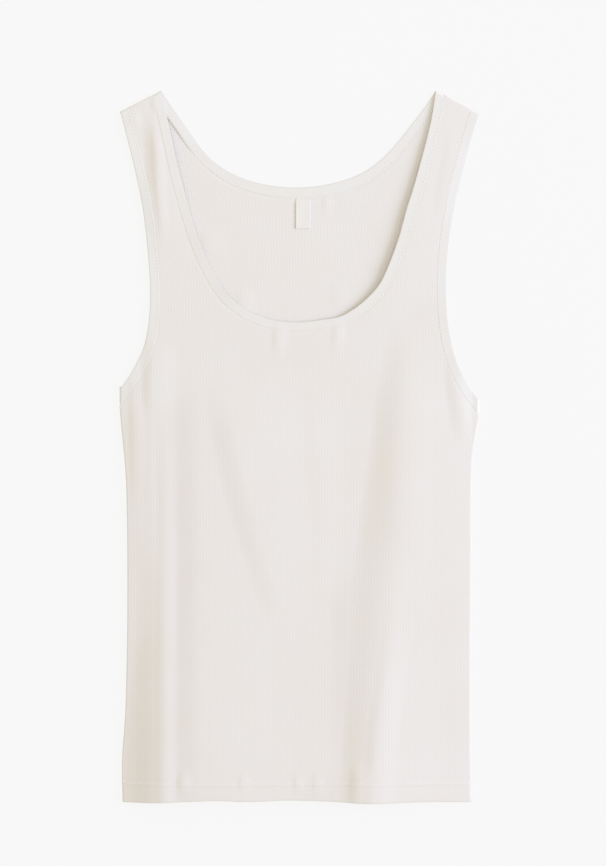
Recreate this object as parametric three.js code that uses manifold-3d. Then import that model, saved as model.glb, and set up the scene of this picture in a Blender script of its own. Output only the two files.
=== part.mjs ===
// A ribbed cotton tank top laid flat, front side up.
// Millimetres. +X is the viewer's right, +Y runs from hem to neck, +Z is up from the surface.
// The origin is the middle of the flat underside.

import * as THREE from 'three';
import { mergeVertices } from 'three/addons/utils/BufferGeometryUtils.js';
import Module from 'manifold-3d';

const wasm = await Module();
wasm.setup();

// Cloth
const panelWall = 1.4;
const hemWall = 2.2;
const bandWall = 1.8;
const seamGap = 0.3;
const bandWidth = 9;
const hemDepth = 17;
const hemRamp = 2;

// Ribs stand half above and half below the mean outer face
const ribPitch = 2.6;
const ribRelief = 0.5;
const bandRibPitch = 2.3;
const bandRibRelief = 0.4;

// Heights of the front's inner face where no fold lifts it
const panelRest = panelWall + seamGap;
const hemRest = hemWall + seamGap;
const bandRest = bandWall + seamGap;

// Outline as it lies, [x, y] along each edge; the sides are not quite alike
const hemLine = -319.5;
const leftSide = [
  [-159, hemLine], [-159.6, -282], [-156.6, -236], [-154.8, -150], [-155.7, -40], [-160.5, 20],
];
const rightSide = [[154.6, hemLine], [153.6, -240], [154.3, -110], [155, -20], [160, 18]];
const hem = [
  [-159, hemLine], [-132, -319.6], [-78, -317.4], [-45, -318.4], [-12, -317.3],
  [24, -318.2], [62, -320], [110, -319], [154.6, hemLine],
];
const leftUnderarm = [-161.8, 51];
const rightUnderarm = [161.8, 41];
const leftShoulderTip = [-161.2, 301.1];
const rightShoulderTip = [161.4, 299.8];
const leftNeckPoint = [-124.4, 320];
const rightNeckPoint = [122.4, 320];
const leftArmhole = [
  leftUnderarm, [-149.2, 69.8], [-138, 97], [-134.2, 140],
  [-139.5, 204], [-148.5, 251], leftShoulderTip,
];
const rightArmhole = [
  rightShoulderTip, [153, 272], [140.5, 222], [132.5, 168],
  [132.8, 118], [139.5, 81], [152, 54], rightUnderarm,
];
const frontNeck = [
  leftNeckPoint, [-117.2, 288], [-106.4, 240], [-91.6, 189], [-75, 151.6], [-57, 129.5],
  [-31, 115.7], [-4, 111.9], [22, 114.3], [37, 117.2], [49.8, 124.4], [60.4, 133], [71.4, 145.3],
  [79, 160.5], [88.5, 186], [96, 213], [104.4, 240], [117, 288], rightNeckPoint,
];
const backNeck = [
  leftNeckPoint, [-104.5, 291], [-79, 258], [-45, 239.2], [0, 233],
  [44, 240.8], [75, 259.5], [107, 297.5], rightNeckPoint,
];

// Folds of the front, as sections from top to bottom: where the crest stands, how high,
// and how wide its left and right flanks are. A flank that runs to a side seam is straight.
const folds = [
  // the long ridge from the right bust to the hem, steep on its left
  {
    straight: 'right',
    sections: [
      { y: 116, crest: 102, height: 0, left: 22, right: 46 },
      { y: 84, crest: 100, height: 1.3, left: 25, right: 54 },
      { y: 40, crest: 96, height: 3, left: 30, right: 60 },
      { y: -3, crest: 93, height: 3.8, left: 32, right: 62 },
      { y: -66, crest: 90, height: 4.2, left: 38, right: 64 },
      { y: -120, crest: 87, height: 4.2, left: 42, right: 67 },
      { y: -170, crest: 82, height: 3.9, left: 38, right: 71.5 },
      { y: -222, crest: 75.5, height: 4.2, left: 35, right: 78 },
      { y: -270, crest: 69.5, height: 4.5, left: 33, right: 84 },
      { y: -340, crest: 66, height: 4.5, left: 32, right: 88.5 },
    ],
  },
  // its softer step further left, low down
  {
    sections: [
      { y: -84, crest: 60, height: 0, left: 24, right: 44 },
      { y: -135, crest: 52, height: 1.4, left: 26, right: 44 },
      { y: -190, crest: 48, height: 1.5, left: 28, right: 44 },
      { y: -260, crest: 44, height: 1, left: 28, right: 44 },
      { y: -340, crest: 42, height: 0.8, left: 26, right: 44 },
    ],
  },
  // the narrow top of that ridge towards the hem
  {
    sections: [
      { y: -110, crest: 92, height: 0, left: 12, right: 20 },
      { y: -190, crest: 81, height: 0.5, left: 12, right: 20 },
      { y: -270, crest: 70.5, height: 0.8, left: 12, right: 20 },
      { y: -340, crest: 67, height: 0.8, left: 12, right: 20 },
    ],
  },
  // the broad rise under both
  {
    straight: 'right',
    sections: [
      { y: 90, crest: 88, height: 0, left: 120, right: 66 },
      { y: 0, crest: 86, height: 1, left: 140, right: 68 },
      { y: -120, crest: 80, height: 1.4, left: 150, right: 73 },
      { y: -340, crest: 72, height: 1.4, left: 150, right: 82 },
    ],
  },
  // the soft ridge from the left bust towards the middle
  {
    sections: [
      { y: 66, crest: -71, height: 0, left: 18, right: 70 },
      { y: 42, crest: -64, height: 0.8, left: 23, right: 80 },
      { y: 15, crest: -58, height: 1.6, left: 24, right: 90 },
      { y: -30, crest: -48, height: 1.7, left: 24, right: 90 },
      { y: -84, crest: -34, height: 1.5, left: 23, right: 80 },
      { y: -130, crest: -20.5, height: 1, left: 21, right: 70 },
      { y: -172, crest: -9, height: 0, left: 20, right: 60 },
    ],
  },
  // the long shallow ridge left of the middle
  {
    sections: [
      { y: 72, crest: -90, height: 0, left: 20, right: 120 },
      { y: 20, crest: -89, height: 1.7, left: 26, right: 125 },
      { y: -100, crest: -88, height: 2.2, left: 26, right: 120 },
      { y: -230, crest: -88, height: 2, left: 27, right: 95 },
      { y: -340, crest: -87, height: 1.7, left: 28, right: 95 },
    ],
  },
  // the swell along the left side, which rises straight from the side seam
  {
    straight: 'left',
    sections: [
      { y: 90, crest: -124, height: 0, left: 36, right: 150 },
      { y: 40, crest: -132, height: 1.8, left: 28, right: 190 },
      { y: -12, crest: -132, height: 2, left: 25, right: 210 },
      { y: -40, crest: -131, height: 2, left: 25, right: 225 },
      { y: -66, crest: -128.5, height: 2.1, left: 27, right: 230 },
      { y: -93, crest: -127, height: 2.2, left: 28, right: 235 },
      { y: -120, crest: -124, height: 1.9, left: 31, right: 240 },
      { y: -147, crest: -121, height: 1.9, left: 34, right: 245 },
      { y: -174, crest: -120.5, height: 2.4, left: 34.5, right: 250 },
      { y: -228, crest: -120.5, height: 2.6, left: 36, right: 255 },
      { y: -280, crest: -120.5, height: 3.7, left: 39, right: 260 },
      { y: -340, crest: -121, height: 3.7, left: 38, right: 260 },
    ],
  },
  // its fuller, rounder part lower down
  {
    sections: [
      { y: -70, crest: -122, height: 0, left: 26, right: 200 },
      { y: -93, crest: -121.5, height: 0.5, left: 26, right: 220 },
      { y: -120, crest: -121, height: 1.6, left: 26, right: 240 },
      { y: -147, crest: -121, height: 1.9, left: 26.5, right: 245 },
      { y: -174, crest: -121, height: 2.2, left: 28, right: 250 },
      { y: -228, crest: -120.5, height: 3.9, left: 35, right: 255 },
      { y: -280, crest: -120.5, height: 4.6, left: 38, right: 260 },
      { y: -340, crest: -121, height: 4.8, left: 38, right: 260 },
    ],
  },
  // the narrow top of that swell
  {
    sections: [
      { y: 40, crest: -120, height: 0, left: 9, right: 12 },
      { y: -20, crest: -120, height: 0.4, left: 9, right: 12 },
      { y: -140, crest: -120, height: 0.6, left: 10, right: 12 },
      { y: -260, crest: -120, height: 0.7, left: 11, right: 12 },
      { y: -340, crest: -120, height: 0.7, left: 11, right: 12 },
    ],
  },
  // the short crease below the left armhole
  {
    sections: [
      { y: 108, crest: -129, height: 0, left: 10, right: 20 },
      { y: 82, crest: -131, height: 1.2, left: 11, right: 24 },
      { y: 50, crest: -132, height: 1.2, left: 11, right: 24 },
      { y: 20, crest: -132, height: 0, left: 10, right: 20 },
    ],
  },
  // the short crease below the right armhole
  {
    sections: [
      { y: 90, crest: 139, height: 0, left: 10, right: 12 },
      { y: 66, crest: 141, height: 1, left: 12, right: 14 },
      { y: 30, crest: 145, height: 1, left: 12, right: 12 },
      { y: 0, crest: 148, height: 0, left: 10, right: 8 },
    ],
  },
  // the soft length of the left strap
  {
    sections: [
      { y: 306, crest: -133, height: 0, left: 11, right: 26 },
      { y: 272, crest: -128, height: 1.2, left: 13, right: 30 },
      { y: 225, crest: -127, height: 0.9, left: 13, right: 30 },
      { y: 160, crest: -123, height: 0, left: 10, right: 26 },
    ],
  },
  // the soft length of the right strap
  {
    sections: [
      { y: 292, crest: 142, height: 0, left: 9, right: 12 },
      { y: 262, crest: 137, height: 0.5, left: 11, right: 14 },
      { y: 226, crest: 131, height: 0.5, left: 11, right: 14 },
      { y: 190, crest: 127, height: 0, left: 9, right: 12 },
    ],
  },
  // the right of the neck edge, which stands clear of the back
  {
    sections: [
      { y: 320, crest: 122, height: 0, left: 30, right: 50 },
      { y: 285, crest: 116, height: 1.6, left: 30, right: 60 },
      { y: 240, crest: 105, height: 2.8, left: 30, right: 70 },
      { y: 190, crest: 91, height: 3.6, left: 30, right: 80 },
      { y: 150, crest: 73, height: 3.4, left: 34, right: 80 },
      { y: 128, crest: 51, height: 2, left: 36, right: 70 },
      { y: 104, crest: 20, height: 0, left: 36, right: 60 },
    ],
  },
];
const straightCrest = 0.25;

// The label
const labelWidth = 13.5;
const labelLength = 27;
const labelWall = 1;
const labelMiddle = 3.2;
const labelTop = 222.6;
const labelCurl = 1.6;

// Fineness of the solids
const edgeStep = 6;
const bodyRows = 8;
const chestRows = 10;
const chestStart = 60;
const ribsPerInnerColumn = 2;
const ribsPerInnerStation = 2;
const hiddenStep = 9;
const turnSteps = 4;
const slabHalfWidth = 190;
const slabEnd = 336;

// Ribs are upright in the body and lean outwards with the straps
const leanStart = 132;
const leanTop = 30;
const leanRise = 189;
const leanPower = 1.5;

const knit = { color: '#efebe5', roughness: 0.92, metalness: 0 };
const binding = { color: '#edeae2', roughness: 0.94, metalness: 0 };
const tape = { color: '#f1ece0', roughness: 0.7, metalness: 0 };

const toVector = ([x, y]) => new THREE.Vector2(x, y);
const mix = THREE.MathUtils.lerp;

// A curve through a few measured points
function curveThrough(table) {
  const curve = new THREE.SplineCurve(table.map(toVector));
  curve.arcLengthDivisions = 600;
  return curve;
}

function pointsAlong(table) {
  const curve = curveThrough(table);
  return curve.getSpacedPoints(Math.round(curve.getLength() / edgeStep));
}

// A line of points moved sideways to the right of its direction, and lengthened at both ends
function movedRight(points, distance) {
  const last = points.length - 1;
  const moved = points.map((point, i) => {
    const along = points[Math.min(i + 1, last)].clone().sub(points[Math.max(i - 1, 0)]).normalize();
    return new THREE.Vector2(point.x + along.y * distance, point.y - along.x * distance);
  });
  const lengthen = (end, inner) => end.clone().add(end.clone().sub(inner).setLength(2 * bandWidth));
  return [lengthen(moved[0], moved[1]), ...moved, lengthen(moved[last], moved[last - 1])];
}

// The stretch of a line of points inside a straight fold, ending exactly on the fold
function trimmed(points, fold) {
  const beyond = (point) => fold.outward.dot(point.clone().sub(fold.at));
  const kept = [];
  points.forEach((point, i) => {
    const here = beyond(point);
    const before = i ? beyond(points[i - 1]) : here;
    if (before > 0 !== here > 0) {
      kept.push(points[i - 1].clone().lerp(point, before / (before - here)));
    }
    if (here <= 0) kept.push(point);
  });
  return kept;
}

// A straight fold of the garment, given by two points with the cloth on the left of the way between
function foldLine(from, to) {
  const along = toVector(to).sub(toVector(from)).normalize();
  return { at: toVector(from), outward: new THREE.Vector2(along.y, -along.x) };
}

const movedIn = (fold, distance) => ({
  at: fold.at.clone().addScaledVector(fold.outward, -distance),
  outward: fold.outward,
});

const shoulders = {
  left: foldLine(leftNeckPoint, leftShoulderTip),
  right: foldLine(rightShoulderTip, rightNeckPoint),
};
const underarms = {
  left: foldLine(leftUnderarm, [leftUnderarm[0], hemLine]),
  right: foldLine([rightUnderarm[0], hemLine], rightUnderarm),
};

// How high a flank is at a share of its width from the crest: 1 at the crest, 0 at the foot.
// A soft flank eases into its foot, and a straight one falls evenly once past the round crest.
function flankHeight(share, straight) {
  const fall = (at) => Math.hypot(at, straightCrest) - straightCrest;
  return straight ? 1 - fall(share) / fall(1) : (1 - share * share) ** 2;
}

// The section of a fold at y, between the two that are given on either side of it
function sectionAt(sections, y) {
  const below = sections.findIndex((section) => section.y < y);
  const lower = sections[below];
  const upper = sections[below - 1];
  const share = (upper.y - y) / (upper.y - lower.y);
  return {
    crest: mix(upper.crest, lower.crest, share),
    height: mix(upper.height, lower.height, THREE.MathUtils.smoothstep(share, 0, 1)),
    left: mix(upper.left, lower.left, share),
    right: mix(upper.right, lower.right, share),
  };
}

// Height of the front's folds at (x, y), over the way it lies without them
function foldHeight(x, y) {
  let total = 0;
  for (const { straight, sections } of folds) {
    if (y >= sections[0].y || y <= sections.at(-1).y) continue;
    const { crest, height, left, right } = sectionAt(sections, y);
    const side = x < crest ? 'left' : 'right';
    const share = Math.min(Math.abs(x - crest) / (side === 'left' ? left : right), 1);
    total += height * flankHeight(share, side === straight);
  }
  return total;
}

// 1 in the turned hem and 0 above it
const hemShare = (y) => THREE.MathUtils.clamp((hemLine + hemDepth + hemRamp - y) / hemRamp, 0, 1);
const panelThickness = (y) => mix(panelWall, hemWall, hemShare(y));
const frontInner = (x, y) => mix(panelRest, hemRest, hemShare(y)) + foldHeight(x, y);

function ribLean(x, y) {
  const rise = Math.max(y - leanStart, 0) / leanRise;
  return Math.sign(x) * leanTop * rise ** leanPower;
}

// Rows of the panels: two at the edge of the hem, then closer together above the underarms
function rowHeights() {
  const hemTop = hemLine + hemDepth;
  const rows = [-slabEnd, hemTop];
  for (let i = 0; i < bodyRows; i += 1) rows.push(mix(hemTop + hemRamp, chestStart, i / bodyRows));
  for (let i = 0; i <= chestRows; i += 1) rows.push(mix(chestStart, slabEnd, i / chestRows));
  return rows;
}

// A wall over the whole width, with `fine` columns on its upper face and every `each`-th one below
function slab(columns, each, upper, lower) {
  const rows = rowHeights();
  const positions = [];
  const faces = [];
  const place = (x, y, height) => {
    const leaned = x + ribLean(x, y);
    positions.push(leaned, y, height(leaned, y));
    return positions.length / 3 - 1;
  };
  const top = rows.map((y) => columns.map((x, k) => place(x, y, (u, v) => upper(u, v, k))));
  const coarse = columns.filter((x, k) => k % each === 0);
  const under = rows.map((y) => coarse.map((x) => place(x, y, lower)));
  const quad = (a, b, c, d) => faces.push(a, b, c, a, c, d);
  for (let j = 0; j < rows.length - 1; j += 1) {
    for (let k = 0; k < columns.length - 1; k += 1) {
      quad(top[j][k], top[j][k + 1], top[j + 1][k + 1], top[j + 1][k]);
    }
    for (let k = 0; k < coarse.length - 1; k += 1) {
      quad(under[j][k], under[j + 1][k], under[j + 1][k + 1], under[j][k + 1]);
    }
    const right = columns.length - 1;
    const underRight = coarse.length - 1;
    quad(under[j][0], top[j][0], top[j + 1][0], under[j + 1][0]);
    quad(under[j][underRight], under[j + 1][underRight], top[j + 1][right], top[j][right]);
  }
  // the two ends, a fan over each coarse column
  for (const [j, flipped] of [[0, false], [rows.length - 1, true]]) {
    const face = (a, b, c) => (flipped ? faces.push(a, c, b) : faces.push(a, b, c));
    for (let m = 0; m < coarse.length - 1; m += 1) {
      for (let k = m * each; k < (m + 1) * each; k += 1) {
        face(under[j][m], top[j][k + 1], top[j][k]);
      }
      face(under[j][m], under[j][m + 1], top[j][(m + 1) * each]);
    }
  }
  return geometryFrom(positions, faces);
}

function geometryFrom(positions, faces) {
  const geometry = new THREE.BufferGeometry();
  geometry.setAttribute('position', new THREE.Float32BufferAttribute(positions, 3));
  geometry.setIndex(faces);
  return geometry;
}

// A straight-sided block under an outline, far thicker than the garment
function blockOver(outline) {
  const depth = 80;
  const block = new THREE.ExtrudeGeometry(new THREE.Shape(outline), { depth, bevelEnabled: false });
  return block.translate(0, 0, -depth / 4);
}

function solidOf(geometry) {
  const bare = geometry.clone();
  bare.deleteAttribute('normal');
  bare.deleteAttribute('uv');
  const merged = mergeVertices(bare);
  return new wasm.Manifold(new wasm.Mesh({
    numProp: 3,
    vertProperties: new Float32Array(merged.getAttribute('position').array),
    triVerts: new Uint32Array(merged.getIndex().array),
  }));
}

// The part of a slab under an outline
function cutPanel(wall, outline) {
  const cut = solidOf(wall).intersect(solidOf(blockOver(outline))).getMesh();
  return geometryFrom(Array.from(cut.vertProperties), Array.from(cut.triVerts));
}

// Outline of a panel: the garment's own, less the bindings and a seam
function panelOutline(neckTable) {
  const inset = bandWidth + seamGap;
  const armholeLeft = trimmed(trimmed(movedRight(pointsAlong(leftArmhole), inset), shoulders.left),
    underarms.left);
  const armholeRight = trimmed(trimmed(movedRight(pointsAlong(rightArmhole), inset),
    shoulders.right), underarms.right);
  const neck = trimmed(trimmed(movedRight(pointsAlong(neckTable), inset), shoulders.left),
    shoulders.right);
  const sideTo = (table, end) => curveThrough([...table, [end.x, end.y]]).getPoints(14);
  const left = sideTo(leftSide, armholeLeft[0]);
  const right = sideTo(rightSide, armholeRight[armholeRight.length - 1]);
  return [
    ...curveThrough(hem).getPoints(24).slice(0, -1),
    ...right.slice(0, -1),
    ...armholeRight.toReversed(),
    ...neck.toReversed(),
    ...armholeLeft.toReversed(),
    ...left.toReversed().slice(1, -1),
  ];
}

function frontPanel() {
  const count = 2 * Math.ceil(slabHalfWidth / ribPitch);
  const columns = Array.from({ length: 2 * count + 1 }, (_, k) => (k - count) * ribPitch / 2);
  const outer = (x, y, k) => (
    frontInner(x, y) + panelThickness(y) + (k % 2 ? ribRelief : -ribRelief) / 2
  );
  return cutPanel(slab(columns, 2 * ribsPerInnerColumn, outer, frontInner), panelOutline(frontNeck));
}

function backPanel() {
  const columns = [-slabHalfWidth, -slabHalfWidth / 2, 0, slabHalfWidth / 2, slabHalfWidth];
  const inner = (x, y) => panelThickness(y);
  return cutPanel(slab(columns, 1, inner, () => 0), panelOutline(backNeck));
}

// The two long edges of one length of binding, each half ending on the fold that it runs to
function bandEdges(table, startFold, endFold) {
  const turn = (bandRest + bandWall) / 2;
  const free = movedRight(pointsAlong(table), 0);
  const seam = movedRight(pointsAlong(table), bandWidth);
  const cut = (line) => {
    const middle = Math.floor(line.length / 2);
    return [
      ...trimmed(line.slice(0, middle), movedIn(startFold, turn)),
      ...trimmed(line.slice(middle), movedIn(endFold, turn)),
    ];
  };
  const rail = (line) => {
    const curve = new THREE.SplineCurve(cut(line));
    curve.arcLengthDivisions = 1200;
    return curve;
  };
  return { free: rail(free), seam: rail(seam) };
}

// Cross-sections of a closed strip: along the front, over the end fold, back, over the start fold
function bandStations(frontEdges, backEdges, startFold, endFold) {
  const stations = [];
  const up = new THREE.Vector3(0, 0, 1);
  const frontMiddle = bandRest + bandWall / 2;
  const backMiddle = bandWall / 2;
  const frontCount = 2 * Math.round(frontEdges.free.getLength() / bandRibPitch);
  for (let i = 0; i <= frontCount; i += 1) {
    const raised = (point) => (
      new THREE.Vector3(point.x, point.y, frontMiddle + foldHeight(point.x, point.y))
    );
    stations.push({
      free: raised(frontEdges.free.getPointAt(i / frontCount)),
      seam: raised(frontEdges.seam.getPointAt(i / frontCount)),
      up,
      rib: (i % 2 ? bandRibRelief : -bandRibRelief) / 2,
      inner: i % (2 * ribsPerInnerStation) === 0 || i === frontCount,
    });
  }
  const turnOver = (fold, at, share, direction) => {
    const turned = direction > 0 ? share : 1 - share;
    const angle = Math.PI * turned;
    const outward = new THREE.Vector3(fold.outward.x, fold.outward.y, 0);
    const normal = up.clone().multiplyScalar(Math.cos(angle))
      .addScaledVector(outward, Math.sin(angle));
    const radius = (frontMiddle - backMiddle) / 2;
    const centre = (frontMiddle + backMiddle) / 2;
    // the upper half of the turn takes up what the two lengths differ by
    const edgePoint = (edge) => {
      const flat = frontEdges[edge].getPointAt(at)
        .lerp(backEdges[edge].getPointAt(at), Math.min(2 * turned, 1));
      return new THREE.Vector3(flat.x, flat.y, centre).addScaledVector(normal, radius);
    };
    stations.push({ free: edgePoint('free'), seam: edgePoint('seam'), up: normal, rib: 0, inner: true });
  };
  for (let i = 1; i < turnSteps; i += 1) turnOver(endFold, 1, i / turnSteps, 1);
  const backCount = Math.round(backEdges.free.getLength() / hiddenStep);
  for (let i = backCount; i >= 0; i -= 1) {
    const laid = (point) => new THREE.Vector3(point.x, point.y, backMiddle);
    stations.push({
      free: laid(backEdges.free.getPointAt(i / backCount)),
      seam: laid(backEdges.seam.getPointAt(i / backCount)),
      up: up.clone().negate(),
      rib: 0,
      inner: true,
    });
  }
  for (let i = 1; i < turnSteps; i += 1) turnOver(startFold, 0, i / turnSteps, -1);
  return stations;
}

// A closed strip through its cross-sections, with fewer of them on its plain inner face
function stripThrough(stations) {
  const positions = [];
  const faces = [];
  const place = (point) => positions.push(point.x, point.y, point.z) / 3 - 1;
  const rings = stations.map(({ free, seam, up, rib, inner }) => {
    const out = bandWall / 2 + rib;
    const ring = {
      outerFree: place(free.clone().addScaledVector(up, out)),
      outerSeam: place(seam.clone().addScaledVector(up, out)),
    };
    if (inner) {
      ring.innerFree = place(free.clone().addScaledVector(up, -bandWall / 2));
      ring.innerSeam = place(seam.clone().addScaledVector(up, -bandWall / 2));
    }
    return ring;
  });
  const count = rings.length;
  for (let start = 0; start < count;) {
    let end = start + 1;
    while (rings[end % count].innerFree === undefined) end += 1;
    const a = rings[start];
    const b = rings[end % count];
    for (let i = start; i < end; i += 1) {
      const p = rings[i];
      const q = rings[(i + 1) % count];
      faces.push(p.outerFree, p.outerSeam, q.outerSeam, p.outerFree, q.outerSeam, q.outerFree);
      faces.push(p.outerSeam, a.innerSeam, q.outerSeam);
      faces.push(p.outerFree, q.outerFree, a.innerFree);
    }
    faces.push(b.outerSeam, a.innerSeam, b.innerSeam);
    faces.push(b.outerFree, b.innerFree, a.innerFree);
    faces.push(a.innerFree, b.innerSeam, a.innerSeam, a.innerFree, b.innerFree, b.innerSeam);
    start = end;
  }
  return geometryFrom(positions, faces);
}

function band(frontTable, backTable, startFold, endFold) {
  const frontEdges = bandEdges(frontTable, startFold, endFold);
  const backEdges = bandEdges(backTable, startFold, endFold);
  return stripThrough(bandStations(frontEdges, backEdges, startFold, endFold));
}

// A flat tab that curls up a little at its free end
function labelTab() {
  const steps = 6;
  const tab = new THREE.BoxGeometry(labelWidth, labelLength, labelWall, 1, steps, 1);
  const position = tab.getAttribute('position');
  for (let i = 0; i < position.count; i += 1) {
    const down = 0.5 - position.getY(i) / labelLength;
    position.setZ(i, position.getZ(i) + labelCurl * down ** 2);
  }
  return tab.translate(labelMiddle, labelTop - labelLength / 2, panelRest + labelWall / 2);
}

function named(name, geometry, finish) {
  const mesh = new THREE.Mesh(geometry, new THREE.MeshStandardMaterial(finish));
  mesh.name = name;
  return mesh;
}

const tankTop = new THREE.Group();
tankTop.name = 'tank_top';
tankTop.add(
  named('front', frontPanel(), knit),
  named('back', backPanel(), knit),
  named('neck_band', band(frontNeck, backNeck, shoulders.left, shoulders.right), binding),
  named('armhole_band_left', band(leftArmhole, leftArmhole, underarms.left, shoulders.left), binding),
  named(
    'armhole_band_right',
    band(rightArmhole, rightArmhole, shoulders.right, underarms.right),
    binding,
  ),
  named('label', labelTab(), tape),
);

export default tankTop;
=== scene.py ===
import math
from functools import partial

import bpy
import numpy as np
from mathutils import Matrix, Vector
from mathutils.geometry import delaunay_2d_cdt
from mathutils.kdtree import KDTree


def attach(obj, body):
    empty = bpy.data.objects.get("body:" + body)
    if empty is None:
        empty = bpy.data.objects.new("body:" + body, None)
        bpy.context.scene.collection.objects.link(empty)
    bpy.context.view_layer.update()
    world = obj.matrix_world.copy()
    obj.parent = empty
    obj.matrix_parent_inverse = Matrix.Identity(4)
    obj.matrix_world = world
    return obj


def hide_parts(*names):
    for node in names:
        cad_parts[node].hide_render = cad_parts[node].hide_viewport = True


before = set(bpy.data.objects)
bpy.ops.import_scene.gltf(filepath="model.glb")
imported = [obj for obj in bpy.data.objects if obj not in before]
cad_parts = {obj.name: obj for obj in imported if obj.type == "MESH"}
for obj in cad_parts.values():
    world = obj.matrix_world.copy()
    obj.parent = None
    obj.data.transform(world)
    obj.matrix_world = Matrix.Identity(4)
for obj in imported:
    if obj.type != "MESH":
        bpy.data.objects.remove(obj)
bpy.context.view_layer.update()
print("frame loaded:", len(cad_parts), "nodes")

# A ribbed cotton tank top laid flat, front side up. Tables are in millimetres, objects in metres.
mm = 0.001

garment = {
    "panelWall": 1.4,
    "hemWall": 2.2,
    "bandWall": 1.8,
    "seamGap": 0.3,
    "seamTuck": 0.6,  # how far a panel's edge lies inside its folded binding
    "sideGap": 0.08,  # between the front's turn and the back
    "bandWidth": 9,
    "hemDepth": 17,
    "hemRamp": 2.4,
    "hemLine": -319.5,
    "backBandMore": 2.2,  # the back's neck binding is wider in its middle
    "backBandHalf": 100,
    "ribPitch": 2.6,
    "ribRelief": 0.075,
    "bandRibPitch": 2.3,
    "bandRibRelief": 0.07,
}
curveParts = 40  # between two points of a table
tableStep = 0.5  # mm between the points of a curve, before it is shared out
panelRest = garment["panelWall"] + garment["seamGap"]
hemRest = garment["hemWall"] + garment["seamGap"]
bandRest = garment["bandWall"] + garment["seamGap"]
hemTop = garment["hemLine"] + garment["hemDepth"]

# Outline as it lies. The two sides are not quite alike.
leftUnderarm, rightUnderarm = [-161.8, 51], [161.8, 41]
leftShoulderTip, rightShoulderTip = [-161.2, 301.1], [161.4, 299.8]
leftNeckPoint, rightNeckPoint = [-124.4, 320], [122.4, 320]
outline = {
    "leftSide": [
        [-159, -319.5], [-159.6, -282], [-156.6, -236], [-154.8, -150], [-155.7, -40],
        [-160.5, 20],
    ],
    "rightSide": [[154.6, -319.5], [153.6, -240], [154.3, -110], [155, -20], [160, 18]],
    "hem": [
        [-159, -319.5], [-132, -319.6], [-78, -317.4], [-45, -318.4], [-12, -317.3],
        [24, -318.2], [62, -320], [110, -319], [154.6, -319.5],
    ],
    "leftArmhole": [
        leftUnderarm, [-149.2, 69.8], [-138, 97], [-134.2, 140],
        [-139.5, 204], [-148.5, 251], leftShoulderTip,
    ],
    "rightArmhole": [
        rightShoulderTip, [153, 272], [140.5, 222], [132.5, 168],
        [132.8, 118], [139.5, 81], [152, 54], rightUnderarm,
    ],
    "frontNeck": [
        leftNeckPoint, [-117.2, 288], [-106.4, 240], [-91.6, 189], [-75, 151.6], [-57, 129.5],
        [-31, 115.7], [-4, 111.9], [22, 114.3], [37, 117.2], [49.8, 124.4], [60.4, 133],
        [71.4, 145.3], [79, 160.5], [88.5, 186], [96, 213], [104.4, 240], [117, 288],
        rightNeckPoint,
    ],
    "backNeck": [
        leftNeckPoint, [-104.5, 291], [-79, 258], [-45, 239.2], [0, 233],
        [44, 240.8], [75, 259.5], [107, 297.5], rightNeckPoint,
    ],
}

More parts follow.
